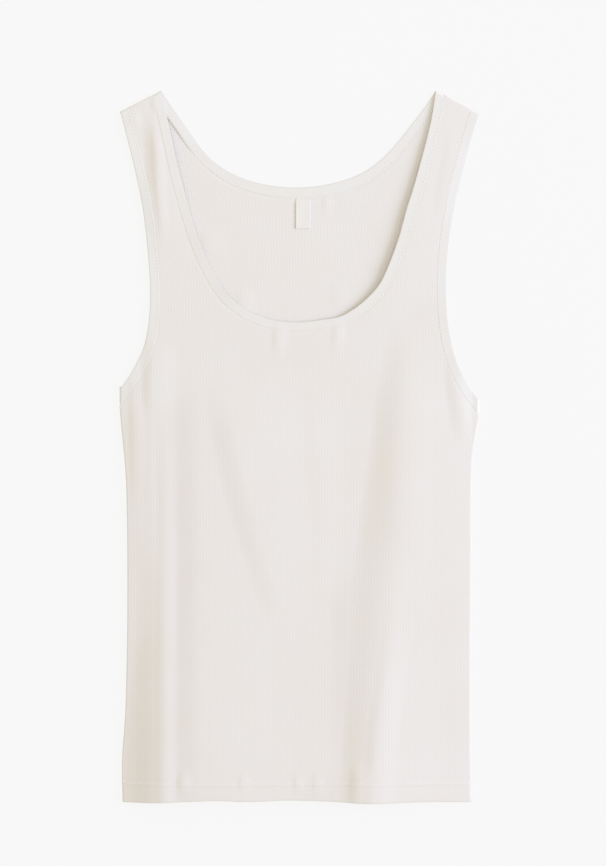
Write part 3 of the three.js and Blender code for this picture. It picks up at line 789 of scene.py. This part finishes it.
def threadMaterial(look):
    # Spun polyester sewing thread, two strands twisted: a little brighter and smoother than
    # the cotton round it, with a slanting twist. Diagonal bands lie twice as far apart, along
    # the thread.
    material, tree = newMaterial("spunPolyesterThread")
    place = addNode(tree, "TexCoord")
    twist = addNode(tree, "TexWave", {"wave_type": "BANDS", "bands_direction": "DIAGONAL",
                                      "Scale": 2 * waveRepeat / (look["twist"] * mm),
                                      "Distortion": 1.5}, {"Vector": place.outputs["Object"]})
    colour = addNode(tree, "Mix", {"data_type": "RGBA", 6: hexColor(look["shade"]),
                                   7: hexColor(look["color"])}, {0: twist.outputs["Fac"]})
    bump = addNode(tree, "Bump", {"Strength": 0.5, "Distance": 0.05 * mm},
                   {"Height": twist.outputs["Fac"]})
    shader = addNode(tree, "BsdfPrincipled",
                     {"IOR": 1.57, "Roughness": 0.62, "Specular IOR Level": 0.35},
                     {"Base Color": colour.outputs[2], "Normal": bump.outputs[0]})
    addNode(tree, "OutputMaterial", links={"Surface": shader.outputs[0]})
    return material


# a real twist shows every 0.6 mm; drawn at 1.4 mm, to show at all
spunThread = threadMaterial({"twist": 1.3816, "color": "#f3efe9", "shade": "#e3ddd4"})


def tapeMaterial(look):
    # Woven satin tape with a plain selvedge, cut and folded: smoother than the knit, with
    # fine cross threads that catch a soft shine.
    material, tree = newMaterial("wovenSatinTape")
    place = addNode(tree, "TexCoord")
    weft = addNode(tree, "TexWave", {"wave_type": "BANDS", "bands_direction": "Y",
                                     "Scale": waveRepeat / (look["weft"] * mm), "Distortion": 0.4,
                                     "Detail": 1}, {"Vector": place.outputs["Object"]})
    warp = addNode(tree, "TexWave", {"wave_type": "BANDS", "bands_direction": "X",
                                     "Scale": waveRepeat / (look["warp"] * mm), "Distortion": 0.2},
                   {"Vector": place.outputs["Object"]})
    both = addNode(tree, "Math", {"operation": "MULTIPLY"},
                   {0: weft.outputs["Fac"], 1: warp.outputs["Fac"]})
    colour = addNode(tree, "Mix", {"data_type": "RGBA", 6: hexColor(look["shade"]),
                                   7: hexColor(look["color"])}, {0: both.outputs[0]})
    bump = addNode(tree, "Bump", {"Strength": 0.6, "Distance": 0.06 * mm},
                   {"Height": both.outputs[0]})
    shader = addNode(tree, "BsdfPrincipled",
                     {"IOR": 1.5, "Roughness": 0.5, "Specular IOR Level": 0.45,
                      "Sheen Weight": 0.1},
                     {"Base Color": colour.outputs[2], "Normal": bump.outputs[0]})
    addNode(tree, "OutputMaterial", links={"Surface": shader.outputs[0]})
    return material


# real weft threads are 0.2 mm apart; drawn at 0.9 mm, to show at all
satinTape = tapeMaterial({"weft": 0.9, "warp": 1.3, "color": "#f0eeea", "shade": "#ebe8e3"})
print("materials made")


# Front and back

def rowPlaces(*stretches):
    # where the lattice's rows lie, from stretches of start, end and step
    rows = [np.arange(start, end, step) for start, end, step in stretches]
    return np.unique(np.round(np.concatenate(rows), 3))


frontSpec = {
    "neck": "frontNeck",
    "wraps": True,
    "column": 0.65,
    "underColumn": 8,
    # close at the hem's sewing and at the scoop, wide where the folds run straight
    "rows": rowPlaces([-322, -307, 2.5], [-307, -298, 0.5], [-298, -280, 2], [-280, 66, 6.5],
                      [66, 118, 2.6], [118, 340, 5]),
    "steps": {"hem": 0.65, "side": 2.2, "seam": 1.3},
    "ribsFrom": -400,  # below the hem, so everywhere
    "outer": frontOuter,
    "under": frontInner,
}
backSpec = {
    "neck": "backNeck",
    "wraps": False,
    "column": 0.65,
    "underColumn": 16,
    "rows": rowPlaces([-322, -307, 5], [-307, -298, 1.5], [-298, 96, 12], [96, 340, 4]),
    "steps": {"hem": 2.6, "side": 4, "seam": 1.3},
    "ribsFrom": 92,  # only where it shows
    "outer": backInner,
    "under": flatUnder,
}
front, frontArea = panelPiece("front_knit", frontSpec, combedCottonRib)
back, backArea = panelPiece("back_knit", backSpec, combedCottonRib)


# Bindings: a folded strip of the same rib round each opening, over to the back

# across the strip: distance from the free edge in mm, height in half walls
bandSection = [
    (0, 0), (0.02, 0.7), (0.08, 0.92), (0.3, 1.03), (0.8, 1.07), (1.9, 1.06), (3.3, 1),
    (5, 0.97), (6.6, 0.95), (7.8, 0.92), (8.6, 0.86), (9, 0.6), (9, -0.5), (8.6, -0.74),
    (7.8, -0.88), (6.6, -0.95), (5, -0.98), (3.3, -1.01), (1.9, -1.06), (0.8, -1.07),
    (0.3, -1.03), (0.08, -0.92), (0.02, -0.7),
]
bandSpec = {
    "perRib": 4,  # places along the strip for each rib
    "hiddenStep": 4.6,
    "turnSteps": 10,
    "turnStretch": 0.35,  # mm along the strip for each step of a turn
    "turnRib": 0.4,  # share of a rib's height where a turn starts
    "sewnAt": 7.5,  # mm from the free edge
    # the back's neck binding stands up here, most at its seam
    "backLift": {"from": -126, "to": -84, "height": 1.1, "freeShare": 0.3},
}


def rails(table, startFold, endFold):
    # the strip's two long edges, each half ending on the fold that it runs to
    turn = (bandRest + garment["bandWall"]) / 2
    line = curveThrough(outline[table], tableStep)
    edges = []
    for edge in (sideways(line, 0), sideways(line, garment["bandWidth"], bandMore(table))):
        middle = len(edge) // 2
        edges.append(np.vstack([
            trimmed(edge[:middle], startFold(turn)), trimmed(edge[middle:], endFold(turn))]))
    return edges


def bandStations(frontTable, backTable, startFold, endFold, backShows):
    # places along the strip: over the front, round one fold, over the back and round the other
    frontMiddle = bandRest + garment["bandWall"] / 2
    backMiddle = garment["bandWall"] / 2
    step = garment["bandRibPitch"] / bandSpec["perRib"]
    frontEdges = rails(frontTable, startFold, endFold)
    ribCount = round(runsAlong(frontEdges[0])[-1] / garment["bandRibPitch"])
    count = ribCount * bandSpec["perRib"]
    frontEdges = [evenly(edge, count=count) for edge in frontEdges]
    backEdges = rails(backTable, startFold, endFold)
    stations = []

    def turnOver(fold, k, turned):
        # from the front at 0 to the back at 1, at the strip's first or last place k
        angle = math.pi * turned
        outward = np.array([*fold[1], 0])
        normal = np.array([0, 0, math.cos(angle)]) + outward * math.sin(angle)
        radius = (frontMiddle - backMiddle) / 2
        centre = (frontMiddle + backMiddle) / 2
        free, seam = [
            np.array([*(near[k] + (far[k] - near[k]) * min(2 * turned, 1)), centre])
            + normal * radius for near, far in zip(frontEdges, backEdges)]
        stations.append({
            "free": free, "seam": seam, "up": normal,
            "along": stations[-1]["along"] + bandSpec["turnStretch"],
            "outerRib": bandSpec["turnRib"] * (1 - turned), "innerRib": 0,
            "crown": 1 - turned, "lane": "turn",
        })

    free, seam = [
        np.column_stack([edge, frontMiddle + heightOf(folds, edge[:, 0], edge[:, 1])])
        for edge in frontEdges]
    for i in range(count + 1):
        stations.append({
            "free": free[i], "seam": seam[i], "up": [0, 0, 1],
            "along": i * step, "outerRib": 1, "innerRib": 0, "crown": 1, "lane": "front",
        })
    turns = [i / bandSpec["turnSteps"] for i in range(1, bandSpec["turnSteps"])]
    for turned in turns:
        turnOver(endFold(0), -1, turned)

    step = step if backShows else bandSpec["hiddenStep"]
    backCount = round(runsAlong(backEdges[0])[-1] / step)
    backEdges = [evenly(edge, count=backCount) for edge in backEdges]
    start = stations[-1]["along"]
    lift = bandSpec["backLift"]
    for i in range(backCount, -1, -1):
        free, seam = backEdges[0][i], backEdges[1][i]
        up = 0
        if backShows:
            share = (free[0] - lift["from"]) / (lift["to"] - lift["from"])
            up = lift["height"] * math.sin(math.pi * min(max(share, 0), 1)) ** 2
        stations.append({
            "free": [*free, backMiddle + lift["freeShare"] * up],
            "seam": [*seam, backMiddle + up], "up": [0, 0, -1],
            "along": start + (backCount - i) * step, "outerRib": 0,
            "innerRib": 1 if backShows else 0, "crown": 0, "lane": "back",
        })
    for turned in turns:
        turnOver(startFold(0), 0, 1 - turned)
    return stations


def bandPiece(name, stations, material):
    half = garment["bandWall"] / 2
    width = garment["bandWidth"]
    points, uv = [], []
    for station in stations:
        free, seam, up = (np.array(station[key], float) for key in ("free", "seam", "up"))
        rib = garment["bandRibRelief"] / 2 * math.cos(
            2 * math.pi * station["along"] / garment["bandRibPitch"])
        for across, height in bandSection:
            proud = station["crown"] if height > 0 else station["innerRib"]
            over = math.copysign(max(abs(height) - 1, 0), height)
            lift = half * (height - over * (1 - proud))
            if height > 0:
                lift += rib * station["outerRib"] * min(height, 1)
            elif height < 0:
                lift -= rib * station["innerRib"] * min(-height, 1)
            points.append(free + (seam - free) * across / width + up * lift)
            uv.append((station["along"], across))
    ring = len(bandSection)
    total = len(stations)
    faces = []
    for i in range(total):
        j = (i + 1) % total
        for k in range(ring):
            m = (k + 1) % ring
            faces.append([i * ring + k, i * ring + m, j * ring + m, j * ring + k])
    obj = meshObject(name, points, faces, uv, material)
    print(f"{name}: {len(points)} points")
    return obj


# Sewing: single stitches that dip into the cloth at both ends

stitch = {"length": 2.5, "gap": 0.8, "radius": 0.14, "flatness": 0.8, "sides": 6}
stitchShape = [(0, 0.35, -0.2), (0.22, 0.95, 0.02), (0.5, 1, 0.06), (0.78, 0.95, 0.02),
               (1, 0.35, -0.2)]  # share of the length, share of the radius, height
upwards = np.array([0, 0, 1])  # every row lies on a face that looks up


def stitchPiece(name, lines):
    points, faces = [], []
    sides = stitch["sides"]
    for line in lines:
        line = np.asarray(line, float)
        runs = runsAlong(line)
        pitch = stitch["length"] + stitch["gap"]
        count = int(runs[-1] // pitch)
        slack = (runs[-1] - count * pitch + stitch["gap"]) / 2

        def placeAt(distance):
            return np.array([np.interp(distance, runs, line[:, k]) for k in range(3)])

        for n in range(count):
            begin = slack + n * pitch
            first = len(points)
            tangent = placeAt(begin + stitch["length"]) - placeAt(begin)
            tangent /= np.linalg.norm(tangent)
            side = np.cross(upwards, tangent)
            for share, thick, height in stitchShape:
                centre = placeAt(begin + share * stitch["length"]) + upwards * height
                for k in range(sides):
                    turn = 2 * math.pi * k / sides
                    points.append(centre + stitch["radius"] * thick * (
                        side * math.cos(turn)
                        + upwards * stitch["flatness"] * math.sin(turn)))
            for r in range(len(stitchShape) - 1):
                for k in range(sides):
                    m = (k + 1) % sides
                    a, b = first + r * sides, first + (r + 1) * sides
                    faces.append([a + k, a + m, b + m, b + k])
            faces.append([first + k for k in reversed(range(sides))])
            last = first + (len(stitchShape) - 1) * sides
            faces.append([last + k for k in range(sides)])
    uv = np.asarray(points)[:, :2]
    obj = meshObject(name, points, faces, uv, spunThread)
    print(f"{name}: {len(faces)} faces")
    return obj


def sewnLine(stations, lane):
    # the row along a binding, on the upper face of its front or its back
    share = bandSpec["sewnAt"] / garment["bandWidth"]
    line = []
    for station in stations:
        if station["lane"] == lane:
            free, seam = np.array(station["free"]), np.array(station["seam"])
            line.append(free + (seam - free) * share + upwards * garment["bandWall"] / 2)
    return line


bands = {
    "neck_binding": (
        "neck_band", "frontNeck", "backNeck",
        partial(shoulderFold, "left"), partial(shoulderFold, "right"), True),
    "armhole_binding_left": (
        "armhole_band_left", "leftArmhole", "leftArmhole",
        partial(underarmFold, "left"), partial(shoulderFold, "left"), False),
    "armhole_binding_right": (
        "armhole_band_right", "rightArmhole", "rightArmhole",
        partial(shoulderFold, "right"), partial(underarmFold, "right"), False),
}
for name, (node, frontTable, backTable, startFold, endFold, backShows) in bands.items():
    stations = bandStations(frontTable, backTable, startFold, endFold, backShows)
    piece = bandPiece(name, stations, combedCottonBinding)
    lines = [sewnLine(stations, "front")]
    if backShows:
        lines.append(sewnLine(stations, "back"))
    sewing = stitchPiece(name.replace("binding", "sewing"), lines)
    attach(piece, "root")
    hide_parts(node)
    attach(sewing, "root")


# Hem sewing on the front

hemStitches = {
    "leftSide": ([-319.5, -282], [-159, -159.6]),  # y and x of the side beside the rows
    "rightSide": ([-319.5, -240], [154.6, 153.2]),
    "inset": 3,  # where the rows end, from the sides
    "proud": 0.08,
    "points": 400,
}


def hemLineAt(place):
    left = np.interp(place, *hemStitches["leftSide"]) + hemStitches["inset"]
    right = np.interp(place, *hemStitches["rightSide"]) - hemStitches["inset"]
    x = np.linspace(left, right, hemStitches["points"])
    y = np.full_like(x, place)
    far = np.full_like(x, math.inf)  # no seam is near
    return np.column_stack([x, y, frontOuter(x, y, far) + hemStitches["proud"]])


hemSewing = stitchPiece("hem_sewing", [hemLineAt(place) for place in hemRows["places"]])
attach(hemSewing, "root")

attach(front, "root")
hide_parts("front")
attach(back, "root")
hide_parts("back")


# Label: a folded loop of bare tape, caught in the seam at its top

label = {
    "width": 13.5,
    "length": 27.6,
    "middle": 3.2,
    "top": 223.6,
    "seamLine": 219.8,  # above this it runs down into the binding's seam
    "seamDip": 0.55,
    "dipOver": 1.6,
    "layer": 0.2,
    "rest": 1.78,
    "space": 0.02,
    "selvedge": 0.06,  # a woven edge is thicker
    "curl": 0.05,
    "leftLift": 0.36,
    "liftGrows": (3, 0.7),  # powers of the way to the left and of the way down
    "ripple": 0.08,
    "rippleRuns": (5.2, 4),  # radians across it and down it
    "columns": 14,
    "rows": 22,
    "bendSteps": 6,
    "lowerTop": 2,  # the lower layer ends just below this row, at the seam
}


def labelPath():
    # the tape's middle seen from its side: down the upper layer, round the bend and up again
    lower = label["rest"] + label["layer"] / 2
    upper = lower + label["layer"] + label["space"]
    bend = (upper - lower) / 2
    straight = label["length"] - bend
    low = label["top"] - straight
    path = []
    for i in range(label["rows"] + 1):
        path.append((label["top"] - straight * i / label["rows"], upper))
    for i in range(1, label["bendSteps"]):
        angle = math.pi * i / label["bendSteps"]
        path.append((low - bend * math.sin(angle), lower + bend + bend * math.cos(angle)))
    for i in range(label["rows"], label["lowerTop"], -1):
        path.append((label["top"] - straight * i / label["rows"], lower))
    return np.array(path)


def labelPiece(name, material):
    columns = label["columns"]
    centre = labelPath()
    along = directions(np.gradient(centre, axis=0))
    normal = np.stack([along[:, 1], -along[:, 0]], axis=1)
    runs = runsAlong(centre)
    toLeft, downwards = label["liftGrows"]
    across, downRuns = label["rippleRuns"]
    points, uv = [], []

    def place(k, j, face):
        x = label["middle"] + label["width"] * (j / columns - 0.5)
        y, z = centre[k] + normal[k] * face * label["layer"] / 2
        down = min(max((label["top"] - y) / label["length"], 0), 1)
        out = 1 - j / columns  # 1 at the left selvedge
        z += label["curl"] * down ** 2 + label["leftLift"] * out ** toLeft * down ** downwards
        z += label["ripple"] * math.sin(j / columns * across + down * downRuns) * down
        z -= label["seamDip"] * float(smoothStep((y - label["seamLine"]) / label["dipOver"]))
        z += float(heightOf(backFolds, np.array([x]), np.array([y]))[0])
        selvedge = label["selvedge"] if j in (0, columns) else 0
        uv.append((x, runs[k]))
        points.append((x, y, z + selvedge * face))

    count = len(centre)
    for face in (1, -1):
        for k in range(count):
            for j in range(columns + 1):
                place(k, j, face)
    faces = []
    wide = columns + 1
    base = count * wide
    for k in range(count - 1):
        for j in range(columns):
            a = k * wide + j
            faces.append([a, a + wide, a + wide + 1, a + 1])
            b = base + a
            faces.append([b, b + 1, b + wide + 1, b + wide])
        for j, flip in ((0, True), (columns, False)):
            a = k * wide + j
            quad = [a, a + wide, base + a + wide, base + a]
            faces.append(quad[::-1] if flip else quad)
    for k, flip in ((0, False), (count - 1, True)):
        for j in range(columns):
            a = k * wide + j
            quad = [a, a + 1, base + a + 1, base + a]
            faces.append(quad[::-1] if flip else quad)
    obj = meshObject(name, points, faces, uv, material)
    print(f"{name}: {len(points)} points")
    return obj, runs[-1]


tab, tabLength = labelPiece("label_tape", satinTape)
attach(tab, "root")
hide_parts("label")


# Floor, light and camera

studio = {
    "floor": "#f7f7f7",
    "floorSize": 14,
    "floorDrop": 0.0001,  # under the cloth
    "floorGlow": 0.93,  # share of its light that comes from beneath
    "glow": "#ffffff",
    "glowStrength": 0.94,
    "fill": "#fff9e8",
    "fillStrength": 0.77,
    "key": "#c9d8ff",
    "keyPower": 183,
    "keyDistance": 5.0,
    "keySize": 2.5,
    "keyAzimuth": 8,
    "keyElevation": 28,
    "top": "#dfe9ff",
    "topPower": 0.75,
    "topPlace": (0, 0.75, 0.75),
    "topAim": (0, 0.1, 0),
    "topSize": 0.8,
}

# opal acrylic, lit from beneath: plain, pale and nearly without shadows
opalAcrylic, tree = newMaterial("opalAcrylic")
base = addNode(tree, "BsdfPrincipled", {
    "Base Color": hexColor(studio["floor"]), "Roughness": 0.7, "IOR": 1.49,
    "Specular IOR Level": 0.1,
})
glow = addNode(tree, "Emission", {"Color": hexColor(studio["glow"]),
                                  "Strength": studio["glowStrength"]})
blend = addNode(tree, "MixShader", {0: studio["floorGlow"]},
                {1: base.outputs[0], 2: glow.outputs[0]})
addNode(tree, "OutputMaterial", links={"Surface": blend.outputs[0]})
bpy.ops.mesh.primitive_plane_add(
    size=studio["floorSize"], location=(0, 0, -studio["floorDrop"]))
floor = bpy.context.object
floor.name = "floor"
floor.data.materials.append(opalAcrylic)

world = bpy.data.worlds.new("studio")
world.use_nodes = True
background = world.node_tree.nodes["Background"]
background.inputs["Color"].default_value = hexColor(studio["fill"])
background.inputs["Strength"].default_value = studio["fillStrength"]
bpy.context.scene.world = world


def softBox(name, place, aim, size, power, color):
    light = bpy.data.lights.new(name, "AREA")
    light.shape = "SQUARE"
    light.size = size
    light.energy = power
    light.color = hexColor(color)[:3]
    lamp = bpy.data.objects.new(name, light)
    lamp.location = place
    lamp.rotation_euler = (Vector(place) - Vector(aim)).to_track_quat("Z", "Y").to_euler()
    bpy.context.scene.collection.objects.link(lamp)


azimuth, elevation = math.radians(studio["keyAzimuth"]), math.radians(studio["keyElevation"])
reach = studio["keyDistance"]
softBox("keyBox", (reach * math.cos(elevation) * math.cos(azimuth),
                   reach * math.cos(elevation) * math.sin(azimuth),
                   reach * math.sin(elevation)),
        (0, 0, 0), studio["keySize"], studio["keyPower"], studio["key"])
softBox("topBox", studio["topPlace"], studio["topAim"], studio["topSize"], studio["topPower"],
        studio["top"])

# the photo's height covers 779.4 mm, seen from straight above
view = {"middle": (3.15, 12.15), "tall": 779.4, "distance": 2.5, "film": 36, "seesTo": 20}
camera = bpy.data.cameras.new("camera")
camera.sensor_width = view["film"]
camera.lens = view["film"] * view["distance"] / (view["tall"] * mm)
camera.clip_end = view["seesTo"]
cameraObject = bpy.data.objects.new("camera", camera)
cameraObject.location = (view["middle"][0] * mm, view["middle"][1] * mm, view["distance"])
bpy.context.scene.collection.objects.link(cameraObject)
bpy.context.scene.camera = cameraObject
bpy.context.scene.view_settings.view_transform = "Standard"
print("studio set")
